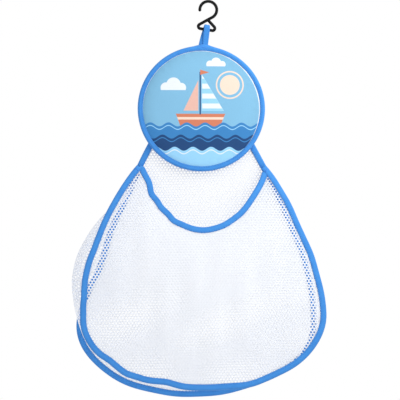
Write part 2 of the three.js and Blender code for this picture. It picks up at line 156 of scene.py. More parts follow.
# Medallion
MEDALLION_RADIUS = 84
MEDALLION_SAG = 0.984
RIM_WIDTH = 6.8
RIM_HALF = 3.2
RIM_FOLD = 2.4
RIM_LIFT = 2.8
RIM_LIFT_SPREAD = 9
GATHER_REACH = 4
GATHERS = ((0.22, 41, 1), (0.18, 27, 2))
SWELL_RISE = 0.25
SWELL_COUNT = 3
RIPPLE_RISE = 0.2
RIPPLE_SPREAD = 17
PLY_INSET = 1.2
PLY_EDGE = 1.6
PLY_THICKNESS = 0.6
PLY_GAP = 0.1
FACE_CROWN = 3.0
BACKING_CROWN = 1.4
PRINT_WAVE_LENGTH = 24
PRINT_WAVE_HEIGHT = 2.6

# Bells, on the middle of their binding
BACK = {
    "corner_half": 62.5, "max_half": 155, "max_drop": 281, "bottom_drop": 372, "flank_angle": 28.4,
    "flank_lead": 75, "waist_lead": 69, "hip_lead": 59, "bottom_lead": 84,
}
BACK_TOP_RADIUS = 74
BACK_SWAY = 6.5
BACK_NET_DEPTH = 2.5
BACK_FOLD = 0.7
BACK_FOLD_SPREAD = 13
BACK_FOLD_SWAY = 0.6
BACK_SWAY_SPREAD = 60
TOP_SEAM_RISE = 4
TOP_TAPE_WIDTH = 9
TOP_TAPE_DEPTH = 3.6
TOP_TAPE_FLATNESS = (0.35, 0.6)
TOP_TAPE_PUCKER = 0.12
FRONT = {
    "corner_half": 82, "max_half": 155.3, "max_drop": 193, "bottom_drop": 288, "flank_angle": 41,
    "flank_lead": 49, "waist_lead": 66, "hip_lead": 58.5, "bottom_lead": 84,
}
FRONT_HINGE_DROP = 77.2
FRONT_SLOPE = 11
FRONT_NET_DEPTH = 1.4
FRONT_BELLY = 5
FRONT_BOW = 6
FRONT_WAVE = 1.4
FRONT_WAVE_SPREAD = 33
FRONT_FOLDS = ((0.16, 0.22, 8.5, 0), (0.12, -0.1, 5.3, 1))
MOUTH_INSET = 6.5
MOUTH_SINK = 0.8
MOUTH_SINK_FROM = (-16, -6)
MOUTH_TUCK = (4.5, 2)
MOUTH_LEFT_START = 3
MOUTH_RIGHT_START = 9
MOUTH_DROP = 84.7
MOUTH_FLANK_LEAD = 22.4
MOUTH_FLANK_ANGLE = 14.6
MOUTH_BOTTOM_LEAD = 45.5

# Gusset: pairs are its left and right, which change over between two shares of the seam
GUSSET_START = 12
GUSSET_FLANGE = 0.5
GUSSET_TURN = (0.55, 0.72)
GUSSET_BELLY = (-3, 4)
GUSSET_BACK_REACH = (-3, 1)
GUSSET_BACK_DEPTH = (1.4, -0.6)
GUSSET_FRONT_REACH = -3
GUSSET_FRONT_DEPTH = (2.5, 4.5)
GUSSET_BULGE = 29
BULGE_AT = 0.17
BULGE_SPAN = 0.14
CURVE_PEAK = 0.75
BELLY_STRETCH = 1.3

# Steps along lines
CURVE_STEPS = 160
BACK_STEPS = 460
FRONT_STEPS = 420
MOUTH_STEPS = 150
TOP_SEAM_STEPS = 120
RIM_STEPS = 360
LOOP_STEPS = 120
HOOK_STEPS = 260

# Small kinks in the sewn tapes: place as a share of the length, push outwards, spread along the tape
FRONT_KINKS = [
    (0.1, 0.6, 30), (0.177, 1.4, 18), (0.2, 0.7, 9), (0.231, -1.1, 10), (0.256, -1.6, 14),
    (0.345, -2.2, 13), (0.378, 1.2, 9), (0.44, -3.2, 17), (0.573, 2.4, 22), (0.65, 0.7, 24),
    (0.73, 0.4, 16), (0.81, -1.4, 26), (0.86, -1, 18), (0.892, -2.8, 28), (0.95, -0.9, 18),
]
BACK_KINKS = [
    (0.1, -4, 45), (0.19, -6.6, 45), (0.207, -2.4, 34), (0.3, 2, 34), (0.405, 3.5, 38),
    (0.472, 4.2, 34), (0.53, 3.3, 34), (0.66, 1, 20), (0.73, -1.6, 32), (0.82, 1.4, 34),
    (0.91, 1.5, 36),
]
MOUTH_KINKS = [
    (0.1, 2.3, 14), (0.16, -2.3, 9), (0.25, -1.2, 8), (0.345, -1.7, 8), (0.52, -0.6, 14),
    (0.62, -0.8, 12), (0.73, -1, 16), (0.85, 0.5, 18),
]


def joint(name):
    """Pivot in millimetres and axis of a joint."""
    found = next(j for j in frame["joints"] if j["name"] == name)
    return np.array(found["pos_m"]) / MM, np.array(found["axis"])


MEDALLION = np.mean(np.array(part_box("medallion_binding")), axis=0) / MM
BAR, BAR_AXIS = joint("hook_swing")
LOOP_ROOT, _ = joint("loop_fold")
FRONT_HINGE, _ = joint("front_fold")


# Sums that many shapes share


def unit(vectors):
    """Vectors brought to length 1."""
    return vectors / np.linalg.norm(vectors, axis=-1, keepdims=True)


def together(*parts):
    """Coordinates joined as the last axis of one array."""
    return np.stack(np.broadcast_arrays(*parts), axis=-1)


def full_turn(steps):
    """Even angles round a circle."""
    return np.linspace(0, TURN, steps, endpoint=False)


def hump(offset, spread):
    """Rounded hump: 1 where the offset is 0, and the exponential of less its square beside it."""
    return np.exp(-((offset / spread) ** 2))


def ease(share):
    """Soft step from 0 to 1: three squares less two cubes."""
    return share**2 * (3 - 2 * share)


# Meshes


def fan_volume(points, faces):
    """Six times the volume inside the faces.

    Each face is a fan of triangles, and each triangle spans a tetrahedron with the origin.
    """
    total = 0
    for polygons in faces:
        corners = points[polygons]
        for i in range(1, polygons.shape[1] - 1):
            total += np.einsum("ij,ij->", corners[:, 0], np.cross(corners[:, i], corners[:, i + 1]))
    return total


def linked(name, data):
    """A new object in the scene."""
    made = bpy.data.objects.new(name, data)
    bpy.context.scene.collection.objects.link(made)
    return made


def piece(name, points, faces, finish, body, lay=None, crease=None):
    """A smooth mesh on a body, from points in millimetres and arrays of polygons, turned outwards.

    The lay is each point's place along and across the cloth. Edges between points numbered from the
    crease on stay sharp.
    """
    points = points.reshape(-1, 3)
    if fan_volume(points - points.mean(axis=0), faces) < 0:
        faces = [polygons[:, ::-1] for polygons in faces]
    mesh = bpy.data.meshes.new(name)
    mesh.from_pydata((points * MM).tolist(), [], [row for polygons in faces for row in polygons.tolist()])
    mesh.polygons.foreach_set("use_smooth", np.ones(len(mesh.polygons), bool))
    if lay is not None:
        layer = mesh.attributes.new("lay", "FLOAT_VECTOR", "POINT")
        level = np.pad(lay.reshape(-1, 2), ((0, 0), (0, 1)))
        layer.data.foreach_set("vector", level.astype(np.float32).ravel())
    if crease is not None:
        ends = np.empty(2 * len(mesh.edges), np.int32)
        mesh.edges.foreach_get("vertices", ends)
        mesh.edges.foreach_set("use_edge_sharp", np.all(ends.reshape(-1, 2) >= crease, axis=1))
    mesh.materials.append(finish)
    made = linked(name, mesh)
    if body:
        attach(made, body)
    return made


def ring_faces(rows, columns, closed_rows=False):
    """Four-cornered faces between rows of points that go round. Closed rows also join end to end."""
    i, j = np.meshgrid(np.arange(rows if closed_rows else rows - 1), np.arange(columns), indexing="ij")
    below, right = (i + 1) % rows, (j + 1) % columns
    corners = [i * columns + j, i * columns + right, below * columns + right, below * columns + j]
    return together(*corners).reshape(-1, 4)


def swept_faces(rows, columns, closed_rows=False):
    """Faces of a closed section carried along a line, with an end cap on each end of an open line."""
    faces = [ring_faces(rows, columns, closed_rows)]
    if not closed_rows:
        first = np.arange(columns)[None, :]
        faces += [first[:, ::-1], first + (rows - 1) * columns]
    return faces


# Lines


def curve(start, lead, follow, end):
    """Cubic curve from start to end that leaves towards lead and arrives from follow."""
    t = np.linspace(0, 1, CURVE_STEPS)[:, None]
    points = [np.asarray(p, float) for p in (start, lead, follow, end)]
    shares = [(1 - t) ** 3, 3 * (1 - t) ** 2 * t, 3 * (1 - t) * t**2, t**3]
    return sum(share * point for share, point in zip(shares, points))


def bell_line(bell, corner_z):
    """Bell outline, from its left corner round to its right one.

    A flank curve runs to the widest point and a hip curve to the bottom, and the same is mirrored.
    """
    angle = math.radians(bell["flank_angle"])
    corner = np.array([-bell["corner_half"], corner_z])
    flank = corner - bell["flank_lead"] * np.array([math.sin(angle), math.cos(angle)])
    widest = np.array([-bell["max_half"], -bell["max_drop"]])
    bottom = -bell["bottom_drop"]
    upper = curve(corner, flank, widest + [0, bell["waist_lead"]], widest)
    lower = curve(widest, widest - [0, bell["hip_lead"]], [-bell["bottom_lead"], bottom], [0, bottom])
    half = np.concatenate([upper, lower[1:]])
    return np.concatenate([half, (half * [-1, 1])[-2::-1]])


def mouth_half(start, side):
    """Half of the scooped mouth, from a given drop below the front's corner.

    It starts with a tuck under the front's binding and goes on in one curve to the lowest point.
    """
    flank_angle = math.radians(FRONT["flank_angle"])
    angle = math.radians(MOUTH_FLANK_ANGLE)
    reach = FRONT["corner_half"] + start * math.tan(flank_angle) - MOUTH_INSET
    end = np.array([reach, -start])
    flank = end - MOUTH_FLANK_LEAD * np.array([math.sin(angle), math.cos(angle)])
    scoop = curve(end, flank, [MOUTH_BOTTOM_LEAD, -MOUTH_DROP], [0, -MOUTH_DROP])
    return np.concatenate([[end + MOUTH_TUCK], scoop]) * [side, 1]


def mouth_line():
    """Scooped mouth from its left end to its right end, which is sewn lower."""
    return np.concatenate([mouth_half(MOUTH_LEFT_START, -1), mouth_half(MOUTH_RIGHT_START, 1)[-2::-1]])


def running_length(points):
    """Distance of each point from the start, along the line."""
    return np.concatenate([[0], np.cumsum(np.linalg.norm(np.diff(points, axis=0), axis=1))])


def read_off(at, run, values):
    """Values at other running lengths: each column is read off against its own running length."""
    return np.column_stack([np.interp(at, run, column) for column in values.T])


def even_line(points, steps):
    """The same line with its points at equal distances."""
    run = running_length(points)
    return read_off(np.linspace(0, run[-1], steps + 1), run, points)


def left_of(line):
    """Way to the left of a flat line: the direction of travel turned by a quarter."""
    travel = unit(np.gradient(line, axis=0))
    return np.column_stack([-travel[:, 1], travel[:, 0]])


class Seam:
    """A sewn line in its panel: points, running length, the way out of the net, and its tape's width.

    A kink pushes the line out by a rounded hump.
    """

    def __init__(self, line, steps, side=1, kinks=(), width=TAPE_WIDTH):
        self.points = even_line(line, steps)
        self.side = side
        self.width = width
        self.measure()
        for share, push, spread in kinks:
            shift = push * hump(self.run - share * self.run[-1], spread)
            self.points = self.points + shift[:, None] * self.out
        self.measure()

    def measure(self):
        """Running length, and the way out on the line's right or left."""
        self.run = running_length(self.points)
        self.out = -self.side * left_of(self.points)

    def at(self, run):
        """Points and ways out at given running lengths."""
        return read_off(run, self.run, self.points), unit(read_off(run, self.run, self.out))


def back_place(x, z, depth):
    """Back seam: depth runs from the front face of its binding to the rear."""
    return MEDALLION + together(x, RIM_HALF + SEAM_GAP + depth, z)


def front_place(x, z, depth):
    """Front seam: depth runs from the front face of its binding to the rear.

    The panel's plane is turned about the hinge, so that its bottom stands off to the user. It is bowed
    forwards by a half wave down it and by a shallow wave across it.
    """
    slope = math.radians(FRONT_SLOPE)
    fall = np.clip(-z / FRONT["bottom_drop"], 0, 1)
    bow = FRONT_BOW * np.sin(math.pi * fall) + FRONT_WAVE * fall * np.sin(x / FRONT_WAVE_SPREAD + 1)
    y = depth - SEAM_THICKNESS - bow
    turned_y = y * math.cos(slope) + z * math.sin(slope)
    return FRONT_HINGE + together(x, turned_y, z * math.cos(slope) - y * math.sin(slope))


def swayed(line):
    """The back hangs to the left by the square of the drop."""
    return line - together(BACK_SWAY * (line[:, 1] / BACK["bottom_drop"]) ** 2, 0)


back_corner_z = -math.sqrt(BACK_TOP_RADIUS**2 - BACK["corner_half"] ** 2)
back_seam = Seam(swayed(bell_line(BACK, back_corner_z)), BACK_STEPS, kinks=BACK_KINKS)
front_seam = Seam(bell_line(FRONT, 0), FRONT_STEPS, kinks=FRONT_KINKS)
mouth_seam = Seam(mouth_line(), MOUTH_STEPS, side=-1, kinks=MOUTH_KINKS)


# Finishes


def colour(red, green, blue):
    """Screen colour of 0 to 255 as linear light."""
    shares = np.array([red, green, blue]) / 255
    linear = np.where(shares <= 0.04045, shares / 12.92, ((shares + 0.055) / 1.055) ** 2.4)
    return (*linear.tolist(), 1.0)


WHITE = colour(255, 255, 255)


class Value:
    """A number that varies over a surface. Arithmetic on it adds nodes to its tree."""

    def __init__(self, nodes, socket):
        self.nodes = nodes
        self.socket = socket

    def math(self, operation, *others, clamp=False):
        inputs = dict(enumerate([self, *others]))
        return self.nodes.add("Math", inputs, operation=operation, use_clamp=clamp)

    def __rsub__(self, other):
        return self.nodes.add("Math", {0: other, 1: self}, operation="SUBTRACT")

    __add__ = __radd__ = partialmethod(math, "ADD")
    __sub__ = partialmethod(math, "SUBTRACT")
    __mul__ = __rmul__ = partialmethod(math, "MULTIPLY")
    __truediv__ = partialmethod(math, "DIVIDE")
    __neg__ = partialmethod(math, "MULTIPLY", -1)
    __abs__ = partialmethod(math, "ABSOLUTE")
    sine = partialmethod(math, "SINE")
    root = partialmethod(math, "SQRT")

    # Union and overlap of two shapes given by their distances
    either = partialmethod(math, "MINIMUM")
    both = partialmethod(math, "MAXIMUM")

    def mask(self):
        """1 where a distance is inside, 0 outside, with an edge of half a millimetre between."""
        return (self * -2).math("ADD", 0.5, clamp=True)


class Nodes:
    """The nodes of a world or a material."""

    def __init__(self, owner):
        owner.use_nodes = True
        self.tree = owner.node_tree

    def add(self, kind, inputs, output=0, **settings):
        made = self.tree.nodes.new("ShaderNode" + kind)
        for key, value in settings.items():
            setattr(made, key, value)
        for key, value in inputs.items():
            if isinstance(value, Value):
                self.tree.links.new(value.socket, made.inputs[key])
            else:
                made.inputs[key].default_value = value
        return Value(self, made.outputs[output])

    def blend(self, factor, first, second):
        return self.add("Mix", {0: factor, 6: first, 7: second}, 2, data_type="RGBA")


class Finish(Nodes):
    """A material with one main shader, and the nodes that feed it."""

    def __init__(self, name, **constants):
        self.material = bpy.data.materials.new(name)
        super().__init__(self.material)
        self.shader = self.tree.nodes["Principled BSDF"]
        for socket, value in constants.items():
            self.shader.inputs[socket.replace("_", " ")].default_value = value

    def feed(self, **inputs):
        for socket, value in inputs.items():
            self.tree.links.new(value.socket, self.shader.inputs[socket.replace("_", " ")])

    def surface(self, tint, roughness, relief, depth, strength=0.5):
        """Colour, roughness and a relief of a depth in millimetres, which make the finish complete."""
        inputs = {"Strength": strength, "Distance": depth * MM, "Height": relief}
        self.feed(Base_Color=tint, Roughness=roughness, Normal=self.add("Bump", inputs))
        return self.material

    def place(self):
        """Place in the part's frame, in metres, along each axis."""
        return self.parts(self.add("TexCoord", {}, "Object"))

    def lay(self):
        """Place along and across the cloth, in millimetres."""
        return self.parts(self.add("Attribute", {}, "Vector", attribute_name="lay"))[:2]

    def parts(self, vector):
        separate = self.add("SeparateXYZ", {0: vector})
        return [Value(self, output) for output in separate.socket.node.outputs]

    def noise(self, scale, detail=2):
        """Cloudy variation round 0, with features about 1 / scale of a metre wide."""
        place = self.add("TexCoord", {}, "Object")
        inputs = {"Vector": place, "Scale": scale, "Detail": detail, "Roughness": 0.55}
        return self.add("TexNoise", inputs) - 0.5

    def shaded(self, tint, amount):
        """A colour made lighter or darker by a varying amount round 0."""
        light = 1 + amount
        level = self.add("CombineXYZ", {axis: light for axis in range(3)})
        base = tint if isinstance(tint, Value) else tint[:3]
        return self.add("VectorMath", {0: base, 1: level}, operation="MULTIPLY")

    def let_light_through(self, share):
        """Thin yarn: a share of the light that falls on it goes on through, scattered and white."""
        through = self.add("BsdfTranslucent", {"Color": WHITE})
        shader = Value(self, self.shader.outputs[0])
        mixed = self.add("MixShader", {0: share, 1: shader, 2: through})
        self.tree.links.new(mixed.socket, self.tree.nodes["Material Output"].inputs["Surface"])


def plain_weave(along, across, pitch):
    """Over and under of a plain weave: the product of a wave along and a wave across."""
    return (along * (TURN / pitch)).sine() * (across * (TURN / pitch)).sine()


def moulded_plastic():
    """Black moulded hook: satin skin with faint flow marks and handling haze."""
    finish = Finish("hook_plastic", Specular_IOR_Level=0.12)
    haze = finish.noise(160, 4)
    tint = finish.blend(haze + 0.5, colour(6, 6, 7), colour(14, 14, 15))
    return finish.surface(tint, 0.38 + haze * 0.2, finish.noise(45) + haze * 0.3, 0.2, 0.35)


def binding_tape():
    """Blue woven tape: plain weave with uneven dye, paler raised ribs and a dull, slightly hairy face.

    It has a painted highlight along its middle, and painted shade at its edge, fold and stitch groove.
    """
    finish = Finish("binding_tape", Specular_IOR_Level=0.3, Sheen_Weight=0.15, Sheen_Roughness=0.5)
    along, across = finish.lay()
    # Painted highlight along the middle of each face, falling off to painted shade at its edge and fold
    falloff = 0.05 - abs(across - 0.47 * TAPE_WIDTH) * 0.03
    # Painted shade in the groove of the stitches
    groove = (1 - abs(across - STITCH_INSET) / GROOVE_SPREAD).math("MAXIMUM", 0)
    weave = plain_weave(along, across, 0.62)
    fibre = finish.noise(900)
    dyed = finish.blend(0.5 + finish.noise(70, 3) * 0.9, colour(52, 131, 210), colour(71, 153, 227))
    tint = finish.shaded(dyed, weave * 0.05 + fibre * 0.12 + falloff - groove * 0.08)
    return finish.surface(tint, 0.68 + fibre * 0.2, weave * 0.5 + fibre, 0.12, 0.6)


def sewing_thread():
    """Blue thread: twisted plies that catch the light in slanting lines."""
    finish = Finish("sewing_thread", Specular_IOR_Level=0.4)
    along, across = finish.lay()
    twist = ((along * 1.6 + across) * TURN).sine()
    dyed = finish.blend(0.5 + finish.noise(60), colour(58, 132, 220), colour(88, 165, 240))
    return finish.surface(finish.shaded(dyed, twist * 0.1), 0.5 + twist * 0.1, twist, 0.06)


def knitted_net():
    """White net: thin cool white yarn in rows of small knitted loops, with loose fibres and clouding."""
    finish = Finish("net", Specular_IOR_Level=0.3)
    loops = plain_weave(*finish.lay(), 0.7)
    fibre = finish.noise(1400)
    shade = loops * 0.07 + fibre * 0.07 + finish.noise(25) * 0.04
    finish.let_light_through(NET_LETS_THROUGH)
    tint = finish.shaded(colour(248, 250, 253), shade)
    return finish.surface(tint, 0.6 + loops * 0.12, loops + fibre * 0.5, 0.06)


def backing_fabric():
    """Pale backing cloth: plain weave with slubs."""
    finish = Finish("backing_fabric", Specular_IOR_Level=0.25, Sheen_Weight=0.1)
    x, _, z = finish.place()
    weave = plain_weave(x / MM, z / MM, 0.9)
    slub = finish.noise(120, 4)
    tint = finish.shaded(colour(222, 230, 239), weave * 0.04 + slub * 0.1)
    return finish.surface(tint, 0.75 + slub * 0.15, weave * 0.6 + slub, 0.18)


def foam_sheet():
    """White foam: fine open cells."""
    finish = Finish("foam", Specular_IOR_Level=0.2)
    cells = finish.noise(700)
    tint = finish.shaded(colour(240, 240, 236), cells * 0.15)
    return finish.surface(tint, 0.9 + cells * 0.1, cells, 0.3, 0.6)


class Print:
    """Flat shapes on the medallion, as distances in millimetres from its centre, negative inside."""

    def __init__(self, finish):
        x, _, z = finish.place()
        self.x = x / MM - float(MEDALLION[0])
        self.z = z / MM - float(MEDALLION[2])

    def disc(self, x, z, radius):
        """Distance from a point less the radius."""
        across, up = self.x - x, self.z - z
        return (across * across + up * up).root() - radius

    def cloud(self, base, *puffs):
        """Union of discs, cut off level at its base."""
        return reduce(Value.either, [self.disc(*puff) for puff in puffs]).both(base - self.z)

    def beyond(self, start, end):
        """Distance to the right of the line from start to end."""
        run, rise = end[0] - start[0], end[1] - start[1]
        length = math.hypot(run, rise)
        offset = (start[0] * rise - start[1] * run) / length
        return self.x * (rise / length) - self.z * (run / length) - offset

    def polygon(self, *corners):
        """Overlap of the left sides of its edges, which run anticlockwise."""
        return reduce(Value.both, [self.beyond(a, b) for a, b in zip(corners, corners[1:] + corners[:1])])

    def below_wave(self, level, phase):
        """Distance above a sine wave."""
        wave = (self.x * (TURN / PRINT_WAVE_LENGTH) + phase).sine()
        return self.z - level - wave * PRINT_WAVE_HEIGHT


def printed_fabric():
    """Printed cotton face: a toy boat under a sun and clouds, on three rows of waves.

    A painted highlight lies beside the rim: white beyond a circle set a little off centre.
    """
    finish = Finish("printed_fabric", Specular_IOR_Level=0.25, Sheen_Weight=0.1)
    shape = Print(finish)
    sky, mid_blue, navy = colour(134, 192, 223), colour(60, 134, 195), colour(30, 72, 122)
    pale_blue, peach, coral = colour(158, 217, 250), colour(250, 224, 202), colour(217, 130, 97)
    rose, white = colour(238, 190, 172), colour(240, 246, 250)

    hull = shape.polygon((-34, -7), (-24, -34), (20, -34), (31, -7))
    main_sail = shape.polygon((0.5, -3), (29, -3), (0.5, 44))
    layers = [
        (shape.disc(37, 31, 13), peach),
        (abs(shape.disc(37, 31, 17.5)) - 0.9, peach),
        (shape.cloud(24, (-47, 27, 7), (-37, 31, 9.5), (-27, 27, 6.5)), white),
        (shape.cloud(55.5, (11, 58, 5), (19, 60.5, 6.5), (27, 58, 4.5)), white),
        (hull, coral),
        (hull.both(abs(shape.z + 13) - 1.6), peach),
        ((abs(shape.x + 2) - 0.9).both(abs(shape.z - 20) - 28), navy),
        (main_sail, white),
        (main_sail.both((shape.z * (TURN / 13)).sine() * 2), pale_blue),
        (shape.polygon((-4.5, -3), (-4.5, 37), (-24, -3)), rose),
        (shape.polygon((-2, 44), (10, 47.5), (-2, 51)), coral),
    ]
    waves = [(-21, 0.4, mid_blue, pale_blue), (-37, 2.5, navy, mid_blue), (-53, 4.6, pale_blue, white)]
    for level, phase, water, line in waves:
        layers.append((shape.below_wave(level, phase), water))
        layers.append((abs(shape.below_wave(level - 4, phase)) - 0.6, line))
    # Painted highlight: white beyond a circle set a little off centre, widest at the upper right
    layers.append((-shape.disc(-0.6, -1.1, 76.5), white))

    # Painted shade: the sky is made darker towards the rim, beyond 56 mm from the middle
    edge = (shape.disc(0, 0, 56) / 20).math("ADD", 0, clamp=True)
    ground = finish.shaded(sky, finish.noise(18) * 0.06 - edge * edge * 0.12)
    for inside, tint in layers:
        ground = finish.blend(inside.mask(), ground, tint)
    weave = plain_weave(shape.x, shape.z, 0.7)
    fibre = finish.noise(800)
    tint = finish.shaded(ground, weave * 0.035 + fibre * 0.08)
    return finish.surface(tint, 0.72 + fibre * 0.2, weave * 0.6 + fibre, 0.14)


TAPE = binding_tape()
THREAD = sewing_thread()
NET = knitted_net()


# Folded tapes and their stitches


def folded_section(width, thickness, fold):
    """Tape folded in half, as reach and depth round its outline.

    It runs out along the front face, round the fold, in along the rear face, round the rear edge, and
    through the pocket to the front edge.
    """
    half, middle, edge = width / 2, thickness / 2, TAPE_THICKNESS / 2
    centre = half - fold
    face = np.linspace(edge - half, centre, 10)
    turn = np.linspace(-math.pi / 2, math.pi / 2, 9)[1:-1]
    inner = np.linspace(math.pi / 2, -math.pi / 2, 5)
    inner_fold, inner_half = fold - TAPE_THICKNESS, middle - TAPE_THICKNESS
    stretches = [
        (face, 0 * face),
        (centre + fold * np.cos(turn), middle + middle * np.sin(turn)),
        (face[::-1], 0 * face + thickness),
        ([-half], [thickness - edge]),
        (face[[0, 5]], [thickness - TAPE_THICKNESS] * 2),
        (centre + inner_fold * np.cos(inner), middle + inner_half * np.sin(inner)),
        (face[[5, 0]], [TAPE_THICKNESS] * 2),
        ([-half], [edge]),
    ]
    return [np.concatenate(column) for column in zip(*stretches)]


def flat_section(width, thickness, steps, flatness):
    """Flat tape with rounded edges, as its place across and its height round its outline.

    A circle's cosine and sine are raised to powers under 1, which square it off.
    """
    across, up = np.cos(full_turn(steps)), np.sin(full_turn(steps))
    across = np.sign(across) * abs(across) ** flatness[0] * width / 2
    return across, np.sign(up) * abs(up) ** flatness[1] * thickness / 2


def carried(line, out, reach):
    """Stations of a line moved out by the reach, as x and z."""
    moved = line + out * np.asarray(reach)[..., None]
    return moved[..., 0], moved[..., 1]


def tape_piece(name, points, run, from_edge, body, closed=False):
    """Tape whose section is carried along a line. Its lay is the run and the distance from its edge."""
    faces = swept_faces(*points.shape[:2], closed)
    return piece(name, points, faces, TAPE, body, together(run, from_edge))


def pucker(run, length, seed):
    """Gathering of a sewn tape: four waves of unlike length, each a whole number along the tape."""
    waves = np.array([6.1, 9.4, 15.2, 33])
    heights = np.array([0.05, 0.1, 0.12, 0.16])
    turns = TURN * np.round(length / waves) / length
    phases = seed * np.array([1.3, 2.1, 3.7, 5.2])
    return np.sin(run[..., None] * turns + phases) @ heights


def stitch_ends(length, start=0):
    """Running lengths at which the stitches of a row start and end, evenly spaced over a length."""
    count = int(length / STITCH_PITCH)
    middle = start + (np.arange(count) + 0.5) * length / count
    return middle - STITCH_LENGTH / 2, middle + STITCH_LENGTH / 2


def threads(name, rows, body, radius=STITCH_RADIUS):
    """Short threads, from rows of starts, ends and ways up.

    Each is a spindle, round in section, whose middle stands up from the cloth.
    """
    starts, ends, ups = [np.concatenate(column) for column in zip(*rows)]
    along = ends - starts
    size = np.linalg.norm(along, axis=1)
    side = unit(np.cross(unit(along), ups))
    up = np.cross(side, unit(along))
    share = np.array([0, 0.1, 0.35, 0.65, 0.9, 1])
    girth = radius * np.array([0.35, 0.8, 1, 1, 0.8, 0.35])
    arch = radius * np.array([-0.9, 0, 0.35, 0.35, 0, -0.9])
    angle = full_turn(6)
    sideways = girth[:, None] * np.cos(angle)
    upwards = girth[:, None] * np.sin(angle) + arch[:, None]
    points = (
        starts[:, None, None]
        + along[:, None, None] * share[:, None, None]
        + side[:, None, None] * sideways[..., None]
        + up[:, None, None] * upwards[..., None]
    )
    first = (np.arange(len(starts)) * len(share) * len(angle))[:, None, None]
    faces = [(part + first).reshape(-1, part.shape[1]) for part in swept_faces(len(share), len(angle))]
    lay = together(size[:, None, None] * share[:, None], radius * angle)
    return piece(name, points, faces, THREAD, body, lay)


class Binding:
    """Tape folded over a seam, with a row of stitches on each of its faces."""

    def __init__(self, name, seam, thickness, fold, place, body, seed, closed=False):
        self.seam = seam
        self.thickness = thickness
        self.place = place
        self.seed = seed
        self.length = seam.run[-1]
        self.tape = self.folded_tape(name, fold, body, closed)
        self.stitches = self.stitching(name + "_stitches", body)

    def leg_shift(self, run, reach, depth):
        """How far a leg's face moves off the seam.

        Its puckers grow towards its free edge, its middle is crowned, and the stitches lie in a groove.
        """
        half = self.seam.width / 2
        free = np.clip((half - reach) / self.seam.width, 0, 1) ** 1.5
        rear = depth > self.thickness / 2
        wave = np.where(rear, *[pucker(run, self.length, self.seed + leg) for leg in (1, 0)])
        groove = GROOVE_DEPTH * hump(reach + half - STITCH_INSET, GROOVE_SPREAD)
        crown = TAPE_CROWN * np.clip(1 - (reach / half) ** 2, 0, 1)
        return np.where(rear, 1, -1) * (free * wave - groove + crown)

    def points(self, line, out, run, reach, depth):
        """Stations moved out by the reach, and in depth by the depth and the leg's shift."""
        return self.place(*carried(line, out, reach), depth + self.leg_shift(run, reach, depth))

    def folded_tape(self, name, fold, body, closed):
        """The folded section carried along the seam's stations."""
        reach, depth = folded_section(self.seam.width, self.thickness, fold)
        last = -1 if closed else None
        line, out, run = [a[:last, None] for a in (self.seam.points, self.seam.out, self.seam.run)]
        points = self.points(line, out, run, reach, depth)
        outline = running_length(together(reach, depth))
        rear_edge = outline[depth == self.thickness].max()
        from_edge = np.minimum(outline, abs(outline - rear_edge)) + TAPE_THICKNESS / 2
        return tape_piece(name, points, run, from_edge, body, closed)

    def stitching(self, name, body):
        """Stitches at a set distance from the free edges."""
        reach = STITCH_INSET - self.seam.width / 2
        rows = []
        for depth in (0, self.thickness):
            ends = [self.points(*self.seam.at(run), run, reach, depth) for run in stitch_ends(self.length)]
            up = self.place(0, 0, np.array(depth)) - self.place(0, 0, np.array(self.thickness / 2))
            rows.append([*ends, np.broadcast_to(up, ends[0].shape)])
        return threads(name, rows, body)


# Net


def signed_depth(points, outline):
    """How far points lie inside a closed outline, with outside as less than nothing.

    It is the distance to the nearest edge, and its sign comes from the crossings of a level ray.
    """
    a, b = outline, np.roll(outline, -1, axis=0)
    edge = b - a
    offset = points[:, None] - a
    share = np.clip(np.einsum("pej,ej->pe", offset, edge) / np.einsum("ej,ej->e", edge, edge), 0, 1)
    near = np.linalg.norm(offset - share[..., None] * edge, axis=2).min(axis=1)
    straddles = (a[:, 1] > points[:, None, 1]) != (b[:, 1] > points[:, None, 1])
    rise = np.where(edge[:, 1] == 0, 1, edge[:, 1])
    crossing = a[:, 0] + (points[:, None, 1] - a[:, 1]) * edge[:, 0] / rise
    inside = (straddles & (points[:, None, 0] < crossing)).sum(axis=1) % 2 == 1
    return np.where(inside, near, -near)


def lattice(low, high):
    """Centres of the net's holes: rows half a cell apart, every other row shifted by half a width."""
    rows = np.arange(math.floor(low[1] / CELL_HEIGHT * 2), math.ceil(high[1] / CELL_HEIGHT * 2) + 1)
    columns = np.arange(math.floor(low[0] / CELL_WIDTH) - 1, math.ceil(high[0] / CELL_WIDTH) + 1)
    column, row = np.meshgrid(columns, rows)
    x = (column + (row % 2) / 2) * CELL_WIDTH
    return np.column_stack([x.ravel(), (row * CELL_HEIGHT / 2).ravel()])


